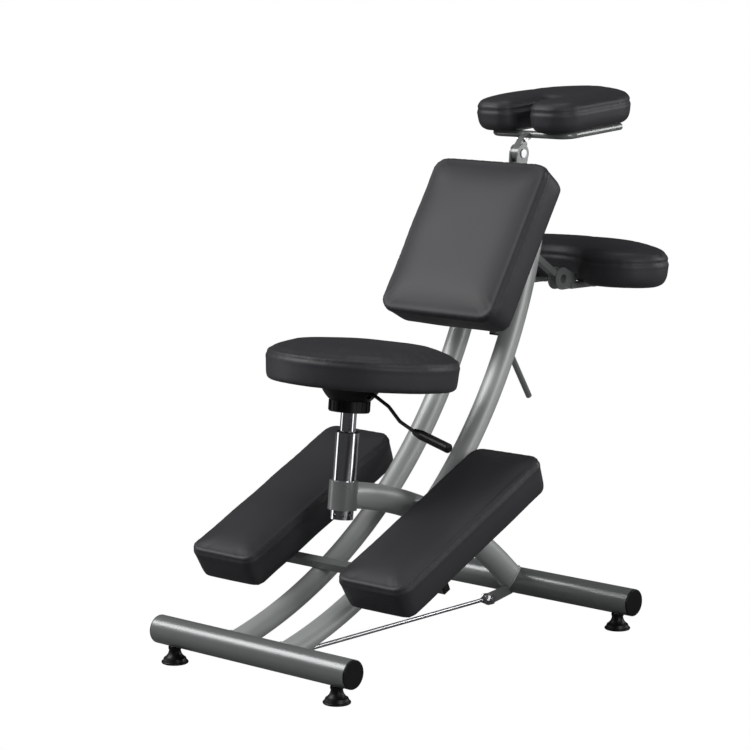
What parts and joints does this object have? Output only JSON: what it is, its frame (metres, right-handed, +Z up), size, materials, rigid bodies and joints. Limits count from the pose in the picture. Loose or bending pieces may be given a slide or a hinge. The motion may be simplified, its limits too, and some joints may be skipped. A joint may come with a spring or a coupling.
{
  "type": "tattoo chair",
  "caption": "Kneeling tattoo chair with a round gas-lift seat, knee rests, chest pad, armrest and face cradle.",
  "frame": {"origin": "on the floor, under the middle of the chair's box", "axes": "+X to the chair's right across it, +Y from the front floor bar towards the armrest, +Z up"},
  "size_m": [0.57, 1.0192, 0.9864],
  "materials": {
    "frame_paint": "satin silver-grey powder coat",
    "chrome": "polished chrome",
    "zinc_steel": "bright zinc plated steel",
    "black_plastic": "fine-grained black plastic",
    "black_leather": "black upholstery leather with a fine grain and stitched seams",
    "board_cloth": "plain black lining cloth stapled over the boards",
    "dark_paint": "dark grey satin paint",
    "bush_plastic": "black guide plastic"
  },
  "bodies": {
    "frame": {"armrest_arms": "frame_paint", "bar_end_caps": "black_plastic", "bolt_nuts": "zinc_steel", "chest_board": "board_cloth", "chest_low_bracket": "frame_paint", "chest_pad": "black_leather", "chest_top_bracket": "frame_paint", "column_bushes": "bush_plastic", "column_ring": "chrome", "column_tube": "chrome", "foot_inserts": "zinc_steel", "frame_bolt": "zinc_steel", "frame_spacers": "zinc_steel", "front_crossbar": "frame_paint", "headrest_sleeve": "frame_paint", "knee_boards": "board_cloth", "knee_crossbar": "frame_paint", "knee_plates": "frame_paint", "left_knee_pad": "black_leather", "left_rail": "frame_paint", "pad_screws": "zinc_steel", "rear_crossbar": "frame_paint", "right_knee_pad": "black_leather", "right_rail": "frame_paint", "seat_arm": "frame_paint", "seat_socket": "frame_paint", "sleeve_stays": "frame_paint", "tie_bolts": "zinc_steel", "tie_lugs": "frame_paint", "tie_rod": "zinc_steel", "tube_caps": "black_plastic"},
    "front_right_foot": {"front_right_foot": "black_plastic"},
    "front_left_foot": {"front_left_foot": "black_plastic"},
    "rear_right_foot": {"rear_right_foot": "black_plastic"},
    "rear_left_foot": {"rear_left_foot": "black_plastic"},
    "lift": {"seat_rod": "chrome"},
    "valve": {"valve_pin": "zinc_steel"},
    "seat": {"seat_mechanism": "dark_paint", "seat_hub_cover": "black_plastic", "seat_board": "board_cloth", "seat_cushion": "black_leather", "seat_screws": "zinc_steel", "lever_pin": "zinc_steel"},
    "lever": {"lift_lever": "dark_paint", "lever_grip": "black_plastic"},
    "post": {"headrest_post": "frame_paint", "post_plug": "black_plastic", "headrest_hinge_plates": "frame_paint", "headrest_rivet": "zinc_steel"},
    "headrest": {"headrest_knuckle": "frame_paint", "headrest_frame": "frame_paint", "headrest_board": "board_cloth", "headrest_pad": "black_leather", "headrest_screws": "zinc_steel"},
    "clamp": {"clamp_lever": "frame_paint"},
    "armrest": {"armrest_rivets": "zinc_steel", "armrest_brackets": "frame_paint", "armrest_board": "board_cloth", "armrest_pad": "black_leather", "armrest_screws": "zinc_steel"}
  },
  "joints": [
    {"name": "front_right_levelling", "type": "slide", "parent": "frame", "child": "front_right_foot", "axis": [0, 0, -1], "range_m": [0, 0.01]},
    {"name": "front_left_levelling", "type": "slide", "parent": "frame", "child": "front_left_foot", "axis": [0, 0, -1], "range_m": [0, 0.01]},
    {"name": "rear_right_levelling", "type": "slide", "parent": "frame", "child": "rear_right_foot", "axis": [0, 0, -1], "range_m": [0, 0.01]},
    {"name": "rear_left_levelling", "type": "slide", "parent": "frame", "child": "rear_left_foot", "axis": [0, 0, -1], "range_m": [0, 0.01]},
    {"name": "seat_lift", "type": "slide", "parent": "frame", "child": "lift", "axis": [0, 0.1045, 0.9945], "range_m": [-0.027, 0.1]},
    {"name": "seat_swivel", "type": "hinge", "parent": "lift", "child": "seat", "pos_m": [0, -0.23665, 0.47173], "axis": [0, 0.1045, 0.9945], "continuous": true},
    {"name": "lift_lever", "type": "hinge", "parent": "seat", "child": "lever", "pos_m": [0.027, -0.23592, 0.47869], "axis": [0, -0.9945, 0.1045], "range_deg": [0, 8], "stiffness_Nm_per_rad": 2, "springref_deg": -5.73},
    {"name": "valve_press", "type": "slide", "parent": "lift", "child": "valve", "axis": [0, -0.1045, -0.9945], "range_m": [0, 0.0048]},
    {"name": "headrest_height", "type": "slide", "parent": "frame", "child": "post", "axis": [0, 0.1908, 0.9816], "range_m": [-0.03, 0.04]},
    {"name": "headrest_tilt", "type": "hinge", "parent": "post", "child": "headrest", "pos_m": [0, 0.23478, 0.8702], "axis": [1, 0, 0], "range_deg": [-35, 20]},
    {"name": "armrest_tilt", "type": "hinge", "parent": "frame", "child": "armrest", "pos_m": [0, 0.28418, 0.6355], "axis": [1, 0, 0], "range_deg": [-75, 15]},
    {"name": "clamp_turn", "type": "hinge", "parent": "frame", "child": "clamp", "pos_m": [0, 0.17945, 0.58553], "axis": [1, 0, 0], "range_deg": [0, 40]}
  ],
  "couplings": [
    {"joint": "valve_press", "follows": "lift_lever", "m_per_rad": 0.031}
  ]
}
